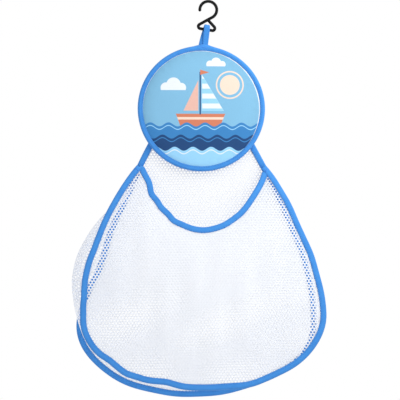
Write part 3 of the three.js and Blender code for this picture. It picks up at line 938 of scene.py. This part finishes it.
def net(name, outline, place, body):
    """Knitted net with a hole wherever a hole's middle lies well inside the outline.

    Each hole has a six-sided cell. The yarn's ridge runs along the cells' borders in front and behind,
    and slopes to the hole's edge half way through. A border of one cell alone is closed by a wall. The
    grain wanders in slow waves.
    """
    centres = lattice(outline.min(axis=0), outline.max(axis=0))
    centres = centres[signed_depth(centres, outline[::3]) > NET_MARGIN]
    half, step = CELL_WIDTH / 2, CELL_HEIGHT / 2
    low = (step**2 - half**2) / (2 * step)
    high = step - low
    ring = np.array([[half, low], [0, high], [-half, low], [-half, -low], [0, -high], [half, -low]])
    corners = (centres[:, None] + ring).reshape(-1, 2)
    border, index = np.unique(np.round(corners, 3), axis=0, return_inverse=True)
    count = len(border)
    holes = (centres[:, None] + ring * HOLE_SHARE).reshape(-1, 2)
    flat = np.concatenate([border, border, holes])
    lift = np.repeat([0.5, -0.5, 0], [count, count, len(holes)])
    front = index.reshape(-1, 6)
    rear = front + count
    rim = 2 * count + np.arange(len(holes)).reshape(-1, 6)
    next_front, next_rear, next_rim = [np.roll(a, -1, axis=1) for a in (front, rear, rim)]
    edges = together(front, next_front).reshape(-1, 2)
    _, first, uses = np.unique(np.sort(edges, axis=1), axis=0, return_index=True, return_counts=True)
    start, end = edges[first[uses == 1]].T
    faces = [
        together(front, next_front, next_rim, rim).reshape(-1, 4),
        together(rear, rim, next_rim, next_rear).reshape(-1, 4),
        together(end, start, start + count, end + count),
    ]
    wander = np.column_stack([np.sin(flat[:, 1] / GRAIN_WAVES[0] + 1), np.sin(flat[:, 0] / GRAIN_WAVES[1])])
    hung = flat + GRAIN_WANDER * wander
    points = place(hung[:, 0], hung[:, 1], lift * NET_THICKNESS)
    return piece(name, points, faces, NET, body, flat, 2 * count)


# Front panel


def front_net_place(x, z, lift):
    """Front net in the pocket of its binding, swelling towards the user.

    The swell is nothing on its seams and most in the middle: a parabola across by a half wave down,
    with two sets of soft upright folds, each of its own height, lean, spread and start.
    """
    left = front_seam.points[: len(front_seam.points) // 2]
    half_width = np.interp(-z, -left[:, 1], -left[:, 0])
    top = np.interp(x, mouth_seam.points[:, 0], mouth_seam.points[:, 1], left=0, right=0)
    rise = np.clip((z + FRONT["bottom_drop"]) / (top + FRONT["bottom_drop"]), 0, 1)
    swell = np.clip(1 - (x / half_width) ** 2, 0, 1) * np.sin(math.pi * rise)
    folds = sum(high * np.sin((x + lean * z) / spread + at) for high, lean, spread, at in FRONT_FOLDS)
    return front_place(x, z, FRONT_NET_DEPTH - lift - FRONT_BELLY * swell * (1 + folds))


def mouth_place(x, z, depth):
    """Mouth binding in the front's plane; its ends sink into the pocket of the front's binding."""
    return front_place(x, z, depth + np.interp(z, MOUTH_SINK_FROM, (0, MOUTH_SINK)))


front = Binding("front_binding_tape", front_seam, SEAM_THICKNESS, SEAM_FOLD, front_place, "front", seed=1)
mouth = Binding("mouth_binding_tape", mouth_seam, MOUTH_THICKNESS, MOUTH_FOLD, mouth_place, "front", seed=4)
front_outline = np.concatenate([front_seam.points, mouth_seam.points[::-1]])
front_net = net("front_net", front_outline, front_net_place, "front")
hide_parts("front_binding")
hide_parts("mouth_binding")
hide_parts("front_panel")


# Back panel, and the tape that sews it to the medallion's rear


def back_net_place(x, z, lift):
    """Back net in the pocket of its binding, with shallow upright folds away from the seams."""
    fall = np.clip((-z - BACK_TOP_RADIUS) / (BACK["bottom_drop"] - BACK_TOP_RADIUS), 0, 1)
    sway = BACK_FOLD_SWAY * np.sin(z / BACK_SWAY_SPREAD)
    folds = np.sin(x / BACK_FOLD_SPREAD + sway) * np.sin(math.pi * fall)
    return back_place(x, z, BACK_NET_DEPTH - lift + BACK_FOLD * folds)


def top_seam_tape(seam):
    """Flat tape: a thin section with rounded edges carried along the seam."""
    reach, depth = flat_section(TOP_TAPE_WIDTH, TAPE_THICKNESS, 16, TOP_TAPE_FLATNESS)
    line, out, run = [a[:, None] for a in (seam.points, seam.out, seam.run)]
    wave = TOP_TAPE_PUCKER * pucker(run, seam.run[-1], seed=9)
    points = back_place(*carried(line, out, reach), TOP_TAPE_DEPTH + depth + wave)
    return tape_piece("top_seam_tape", points, run, TOP_TAPE_WIDTH / 2 - abs(reach), "bag")


back = Binding("back_binding_tape", back_seam, SEAM_THICKNESS, SEAM_FOLD, back_place, "bag", seed=7)
corner_angle = math.atan2(BACK["corner_half"], -back_corner_z)
top_angles = np.linspace(corner_angle, -corner_angle, 90)
back_top = BACK_TOP_RADIUS * np.column_stack([np.sin(top_angles), -np.cos(top_angles)])
back_outline = np.concatenate([back_seam.points, back_top])
back_net = net("back_net", back_outline, back_net_place, "bag")
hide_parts("back_binding")
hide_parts("back_panel")
top_line = back_top * ((BACK_TOP_RADIUS + TOP_SEAM_RISE) / BACK_TOP_RADIUS)
top_tape = top_seam_tape(Seam(top_line, TOP_SEAM_STEPS))


# Gusset

horn = (FRONT_HINGE_DROP + back_corner_z) / math.cos(math.radians(BACK["flank_angle"]))


def left_to_right(share, pair):
    """A value that changes over from the left's to the right's along the seam."""
    return np.interp(share, GUSSET_TURN, pair)


def gusset_point(share, across):
    """Gusset between the seams, and the length of its belly.

    A cubic belly runs from the front seam at 0 to the back seam at 1, and goes on beyond each end in a
    flange. On the left it is drawn in and its flanges lie in the bindings' pockets. On the right it is
    bowed out and sewn to their faces.
    """
    front_points, front_out = front_seam.at(share * front_seam.run[-1])
    back_points, back_out = back_seam.at(horn + share * (back_seam.run[-1] - 2 * horn))
    front_flat = front_points + GUSSET_FRONT_REACH * front_out
    back_flat = back_points + left_to_right(share, GUSSET_BACK_REACH)[:, None] * back_out
    start = front_place(*front_flat.T, left_to_right(share, GUSSET_FRONT_DEPTH))
    end = back_place(*back_flat.T, left_to_right(share, GUSSET_BACK_DEPTH))
    way = unit(front_out + back_out)
    lead = together(way[:, 0], 0, way[:, 1])
    bulge = GUSSET_BULGE * np.clip(1 - ((share - BULGE_AT) / BULGE_SPAN) ** 2, 0, 1) ** 2
    belly = left_to_right(share, GUSSET_BELLY) * np.sqrt(np.sin(math.pi * np.clip(share, 0, 1))) + bulge
    t = np.clip(across, 0, 1)[:, None]
    bowed = lead * (belly / CURVE_PEAK)[:, None]
    middle = start + ease(t) * (end - start) + 3 * t * (1 - t) * bowed
    size = np.hypot(np.linalg.norm(end - start, axis=1), BELLY_STRETCH * belly)
    beyond = np.maximum(-across, across - 1).clip(0) * size
    return middle + beyond[:, None] * lead, size


def gusset_size(share):
    """Length of the gusset's belly from seam to seam."""
    return gusset_point(share, np.full_like(share, 0.5))[1]


def gusset_place(along, across, lift):
    """Gusset net from its flat cut: share of the seam's length along, and share of the belly across.

    The thickness goes along the surface's normal, which comes from differences.
    """
    share = along / front_seam.run[-1]
    size = gusset_size(share)
    cross_share = 0.5 + across / size
    step = 0.6
    ahead = step / front_seam.run[-1]
    run = gusset_point(share + ahead, cross_share)[0] - gusset_point(share - ahead, cross_share)[0]
    over = step / size
    rise = gusset_point(share, cross_share + over)[0] - gusset_point(share, cross_share - over)[0]
    normal = np.cross(run, rise)
    normal /= np.maximum(np.linalg.norm(normal, axis=1), 1e-9)[:, None]
    return gusset_point(share, cross_share)[0] + normal * lift[:, None]


def gusset_outline():
    """Flat cut of the gusset: its belly's length and a flange on each side, along the seam."""
    along = np.linspace(GUSSET_START, front_seam.run[-1] - GUSSET_START, 200)
    half = gusset_size(along / front_seam.run[-1]) / 2 + GUSSET_FLANGE
    return np.concatenate([together(along, -half), together(along, half)[::-1]])


gusset_cut = gusset_outline()
gusset_net = net("gusset_net", gusset_cut, gusset_place, "bag")
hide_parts("gusset")
pocket_y = back_place(0, 0, np.array(GUSSET_BACK_DEPTH[0]))[1]
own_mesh(gusset_net)


# Medallion


def pad_surface(side, crown, seed, inset, radius, angle):
    """Half thickness of the padded disc on one side, less an inset.

    It is level in the middle and rolls down to its edge. Two sets of gathers, each of its own rise and
    number, stand beside the binding, and the cloth is slightly uneven in swells round it and ripples out.
    """
    share = np.clip(radius / (MEDALLION_RADIUS - RIM_WIDTH), 0, 1)
    roll = np.sqrt(1 - share**6)
    beside = hump(radius - MEDALLION_RADIUS + RIM_WIDTH + GATHER_REACH, GATHER_REACH)
    gathers = sum(rise * np.sin(count * angle + shift * seed) for rise, count, shift in GATHERS)
    swells = SWELL_RISE * np.sin(SWELL_COUNT * angle + seed) * share**2
    uneven = swells + RIPPLE_RISE * np.sin(radius / RIPPLE_SPREAD + seed)
    height = PLY_EDGE + PLY_THICKNESS + (crown + gathers * beside + uneven) * roll
    return side * (height - inset)


def ply_surfaces(side, crown, seed):
    """Surfaces on one side of the pad: outside and inside of its cloth, and the foam under it."""
    insets = (0, PLY_THICKNESS, PLY_THICKNESS + PLY_GAP)
    return [partial(pad_surface, side, crown, seed, inset) for inset in insets]


def padded_disc(name, lower, upper, finish):
    """Closed disc between two surfaces given as functions of radius and angle.

    Both are rings of points round a middle point, closer together towards the edge, where they join.
    """
    rings, spokes = 44, 192
    radius = (MEDALLION_RADIUS - PLY_INSET) * (np.arange(1, rings + 1) / rings) ** 0.8
    angle = full_turn(spokes)
    x, z = [np.append(0, radius[:, None] * share) for share in (np.cos(angle), np.sin(angle))]
    heights = [side(np.hypot(x, z), np.arctan2(z, x)) for side in (lower, upper)]
    points = MEDALLION + np.concatenate([together(x, y, z * MEDALLION_SAG) for y in heights])
    spoke = np.arange(spokes)
    fan = np.column_stack([0 * spoke, 1 + (spoke + 1) % spokes, 1 + spoke])
    quads = 1 + ring_faces(rings, spokes)
    outer = 1 + (rings - 1) * spokes + spoke
    ahead = np.roll(outer, -1)
    count = len(x)
    wall = np.column_stack([outer, ahead, ahead + count, outer + count])
    faces = [fan, quads, (fan + count)[:, ::-1], (quads + count)[:, ::-1], wall]
    return piece(name, points, faces, finish, "bag")


face_outside, face_inside, foam_front = ply_surfaces(-1, FACE_CROWN, seed=0.7)
backing_outside, backing_inside, foam_rear = ply_surfaces(1, BACKING_CROWN, seed=2.4)
face = padded_disc("medallion_print", face_outside, face_inside, printed_fabric())
foam = padded_disc("medallion_pad", foam_front, foam_rear, foam_sheet())
backing = padded_disc("medallion_rear", backing_inside, backing_outside, backing_fabric())
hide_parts("medallion_face")
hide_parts("medallion_foam")
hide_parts("medallion_backing")

loop_angle = math.atan2(LOOP_ROOT[2] - MEDALLION[2], LOOP_ROOT[0] - MEDALLION[0])


def rim_place(x, z, depth):
    """Rim binding about the medallion's middle plane, drawn up a little round the root of the loop."""
    lift = RIM_LIFT * hump((np.arctan2(z, x) - loop_angle) * MEDALLION_RADIUS, RIM_LIFT_SPREAD)
    lift = lift * np.clip((np.hypot(x, z) - MEDALLION_RADIUS + RIM_WIDTH) / RIM_WIDTH, 0, 1) ** 2
    stretch = 1 + lift / MEDALLION_RADIUS
    return MEDALLION + together(x * stretch, depth - RIM_HALF, z * stretch * MEDALLION_SAG)


rim_angles = np.linspace(-math.pi / 2, 1.5 * math.pi, RIM_STEPS + 1)
rim_circle = (MEDALLION_RADIUS - RIM_WIDTH / 2) * np.column_stack([np.cos(rim_angles), np.sin(rim_angles)])
rim_seam = Seam(rim_circle, RIM_STEPS, width=RIM_WIDTH)
rim_seam.out = unit(rim_seam.points)
rim = Binding("rim_tape", rim_seam, 2 * RIM_HALF, RIM_FOLD, rim_place, "bag", seed=3, closed=True)
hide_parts("medallion_binding")


# Tape loop

loop_up = unit(BAR - LOOP_ROOT)


class LoopPath:
    """Middle line of the doubled tape, as depth and height above the loop's root.

    Its legs start together in the rim and spread to the bar's width, and a half turn that stands a
    little above the bar joins them. The edges draw in over the bar and at the front leg's root, and the
    legs are sewn a little to either side of each other.
    """

    def __init__(self):
        height = np.linalg.norm(BAR - LOOP_ROOT) + LOOP_SLACK
        bend = HOOK_ROD / 2 + LOOP_CLEARANCE + LOOP_THICKNESS / 2
        rise = np.linspace(-LOOP_TUCK, height, 40)
        share = np.clip(rise / height, 0, 1)
        spread = LOOP_ROOT_SPREAD + (bend - LOOP_ROOT_SPREAD) * ease(share)
        turn = np.linspace(0, math.pi, 24)[1:-1]
        y = np.concatenate([-spread, -bend * np.cos(turn), spread[::-1]])
        h = np.concatenate([rise, height + bend * np.sin(turn), rise[::-1]])
        self.line = even_line(np.column_stack([y, h]), LOOP_STEPS)
        self.run = running_length(self.line)
        self.normal = left_of(self.line)

    def point(self, run, across, depth):
        """A place on the tape and the way off the tape there.

        It is given by its running length, its place across and its height off the middle line.
        """
        along = run / self.run[-1]
        front_root = np.clip(1 - 2 * along, 0, 1) ** 1.5
        rear_share = np.clip((along - LOOP_REAR_FROM) / (1 - LOOP_REAR_FROM), 0, 1)
        rear_root = (1 - np.cos(math.pi * rear_share)) / 2
        drawn = [share * hump(along - 0.5, spread) for share, spread in (LOOP_DRAWN_WIDE, LOOP_DRAWN_TIGHT)]
        width = 1 - sum(drawn) - LOOP_DRAWN_ROOT * front_root
        shift = LOOP_SHIFT + LOOP_FRONT_SHIFT * front_root + LOOP_REAR_SHIFT * rear_root
        sideways = BAR_AXIS * (across * width + shift)[..., None]
        columns = (*self.line.T, *self.normal.T)
        y, h, normal_y, normal_h = [np.interp(run, self.run, column)[..., None] for column in columns]
        off = REARWARD * normal_y + loop_up * normal_h
        return LOOP_ROOT + sideways + REARWARD * y + loop_up * h + off * depth[..., None], off


loop_path = LoopPath()


def hanging_loop():
    """Doubled tape over the bar: a flat section, creased along its length, carried along its path."""
    run = loop_path.run[:, None]
    across, thick = flat_section(LOOP_WIDTH, LOOP_THICKNESS, 24, LOOP_FLATNESS)
    crease_at, crease_depth, crease_spread = LOOP_CREASE
    crease = crease_depth * hump(across - crease_at, crease_spread) * np.sign(thick)
    height = thick - crease + LOOP_PUCKER * pucker(run, run[-1], seed=5)
    points, _ = loop_path.point(run, across, height)
    return tape_piece("hanging_loop_tape", points, run, LOOP_WIDTH / 2 - abs(across), None)


def loop_stitching():
    """A row of stitches along each edge of the loop's outer face, clear of the ends in the rim."""
    clear = LOOP_TUCK + 1
    first, last = stitch_ends(loop_path.run[-1] - 2 * clear, clear)
    height = np.full(len(first), LOOP_THICKNESS / 2 - STITCH_SINK)
    rows = []
    for across in (STITCH_INSET - LOOP_WIDTH / 2, LOOP_WIDTH / 2 - STITCH_INSET):
        starts, ups = loop_path.point(first, across, height)
        ends, _ = loop_path.point(last, across, height)
        rows.append([starts, ends, ups])
    return threads("hanging_loop_stitches", rows, None)


loop = hanging_loop()
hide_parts("hanging_loop")
loop_top = tuple((LOOP_ROOT + LOOP_FOLD_ABOVE * loop_up) * MM)
loop_foot = tuple((LOOP_ROOT - loop_up) * MM)
for sewn in (loop, loop_stitching()):
    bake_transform(sewn)


# Hook


def arc(centre, radius, start, end, steps):
    """Points on a circle from one angle to another."""
    angle = np.linspace(start, end, steps)
    return np.asarray(centre) + radius * np.column_stack([np.cos(angle), np.sin(angle)])


def hook_line():
    """Middle line of the hook in its own plane, from the bar's middle.

    It runs from the crook's tip down the left arm, round the left bend, along the bar, round the right
    bend and up the right arm to the left one. Arms touch their bends, and the left one the crook.
    """
    bend_x, bend_z = EYE_WIDTH / 2 - EYE_BEND, EYE_BEND
    fall_x, fall_z = bend_x, bend_z - EYE_HEIGHT
    arm = math.atan2(fall_z, fall_x) + math.asin(EYE_BEND / math.hypot(fall_x, fall_z))
    touch = arm + math.pi / 2
    crook = CROOK_RADIUS + HOOK_ROD / 2
    shift = (crook - (HOOK_RISE - EYE_HEIGHT) * math.cos(arm)) / math.sin(-arm)
    return np.concatenate(
        [
            arc([-shift, HOOK_RISE], crook, math.radians(CROOK_END), -touch, 120),
            arc([-bend_x, bend_z], EYE_BEND, math.pi - touch, 1.5 * math.pi, 40),
            arc([bend_x, bend_z], EYE_BEND, -math.pi / 2, touch, 40),
            [[ARM_END[0], EYE_HEIGHT + ARM_END[1]]],
        ]
    )


def hook():
    """Moulded rod: a circle carried along the hook's line, with a round tip.

    A fine ridge stands where the mould parts.
    """
    line = even_line(hook_line(), HOOK_STEPS)
    radius = HOOK_ROD / 2
    from_tip = np.clip(running_length(line) / radius, 0.02, 1)
    tip = radius * np.sqrt(np.clip(1 - (1 - from_tip) ** 2, 0, 1))
    angle = full_turn(24)
    girth = tip[:, None] * (1 + MOULD_RIDGE * abs(np.cos(angle)) ** 24)
    flat = line[:, None] + left_of(line)[:, None] * (girth * np.cos(angle))[..., None]
    y = girth * np.sin(angle)
    points = BAR + BAR_AXIS * flat[..., :1] + loop_up * flat[..., 1:] + REARWARD * y[..., None]
    faces = swept_faces(*points.shape[:2])
    return piece("hook_rod", points, faces, moulded_plastic(), "hanger")


hook_rod = hook()
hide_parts("hook")


# Bar tacks


def bar_tack(name, centre, along, across, up, size, body):
    """Close zigzag of threads over a seam: each crosses the tack's width and steps along its length."""
    length, width = size
    count = int(length / TACK_PITCH)
    steps = (np.linspace(-0.5, 0.5, count) * length)[:, None]
    flip = np.where(np.arange(count) % 2 == 0, 1, -1)[:, None]
    starts = centre + along * steps - across * flip * width / 2
    ends = centre + along * (steps + TACK_SLANT) + across * flip * width / 2
    return threads(name, [[starts, ends, np.broadcast_to(up, starts.shape)]], body, TACK_RADIUS)


def corner_tack(name, run):
    """Tack across the front binding where it is sewn to the back binding."""
    (point,), (out,) = front_seam.at(np.array([run]))
    sides = (-CORNER_TACK_REACH, CORNER_TACK_REACH)
    low, high = [front_place(*(point + side * out), np.array(-TACK_LIFT)) for side in sides]
    across = unit(high - low)
    up = front_place(0, 0, np.array(-1.0)) - front_place(0, 0, np.array(0.0))
    return bar_tack(name, (low + high) / 2, np.cross(across, up), across, up, CORNER_TACK, "front")


corner_tack("left_corner_tack", CORNER_TACK_AT)
corner_tack("right_corner_tack", front_seam.run[-1] - CORNER_TACK_AT)
tack_radius = MEDALLION_RADIUS - LOOP_TACK_INSET
tack_centre = MEDALLION + tack_radius * np.array([math.cos(loop_angle), 0, math.sin(loop_angle)])
tack_centre = tack_centre - (RIM_HALF + TACK_LIFT) * REARWARD
bar_tack("loop_tack", tack_centre, BAR_AXIS, loop_up, -REARWARD, LOOP_TACK, "bag")


# Floor, light and camera


def floor():
    """Pale round floor below the bag, fading out at its edge."""
    finish = Finish("floor", Roughness=0.9)
    x, y, _ = finish.place()
    falloff = (FLOOR_RADIUS * MM - (x * x + y * y).root()).math("MULTIPLY", FLOOR_FADE, clamp=True)
    finish.feed(Base_Color=finish.shaded(colour(246, 246, 246), finish.noise(4, 3) * 0.02), Alpha=falloff)
    edge = FLOOR_RADIUS * together(np.cos(full_turn(96)), np.sin(full_turn(96)), 0)
    mesh = bpy.data.meshes.new("floor")
    mesh.from_pydata(((edge + [0, 0, FLOOR_LEVEL]) * MM).tolist(), [], [list(range(len(edge)))])
    mesh.materials.append(finish.material)
    linked("floor", mesh)


def aimed(name, data, location, target):
    """A lamp or camera at a place, turned towards a target."""
    made = linked(name, data)
    made.location = location * MM
    made.rotation_euler = Vector((target - location).tolist()).to_track_quat("-Z", "Y").to_euler()
    return made


def key_lamp(target):
    """Soft round lamp to the upper right."""
    lamp = bpy.data.lights.new("key", "AREA")
    lamp.shape = "DISK"
    lamp.size = KEY_SIZE
    lamp.energy = KEY_POWER
    aimed("key", lamp, target + KEY_OFFSET, target)


def white_world():
    """White to the camera, in reflections and through the net's holes, and an even light on the rest."""
    world = bpy.data.worlds.new("studio")
    bpy.context.scene.world = world
    nodes = Nodes(world)
    rays = ("Is Camera Ray", "Is Glossy Ray", "Is Transmission Ray")
    camera, glossy, through = [nodes.add("LightPath", {}, ray) for ray in rays]
    tint = nodes.blend((camera + glossy).math("ADD", through, clamp=True), EVEN_LIGHT, WHITE)
    nodes.tree.links.new(tint.socket, nodes.tree.nodes["Background"].inputs["Color"])


def photo_camera():
    """Camera in front of the bag, and the point that it looks at.

    Its axis meets the medallion's plane where the picture's middle lies, and its lens takes in the
    picture's width there.
    """
    scale = MEDALLION_RADIUS / RIM_RADIUS_PIXELS
    middle = IMAGE_PIXELS / 2
    target = MEDALLION + scale * np.array([middle - MEDALLION_PIXELS[0], 0, MEDALLION_PIXELS[1] - middle])
    turn = math.radians(CAMERA_TURN)
    location = target + CAMERA_DISTANCE * np.array([math.sin(turn), -math.cos(turn), 0])
    data = bpy.data.cameras.new("photo_camera")
    data.sensor_width = SENSOR_WIDTH
    data.lens = SENSOR_WIDTH * CAMERA_DISTANCE / (scale * IMAGE_PIXELS)
    bpy.context.scene.camera = aimed("photo_camera", data, location, target)
    return target


key_lamp(photo_camera())
floor()
white_world()
bpy.context.scene.view_settings.view_transform = "Standard"
bpy.context.scene.cycles.max_bounces = BOUNCES
bpy.context.scene.cycles.diffuse_bounces = DIFFUSE_BOUNCES
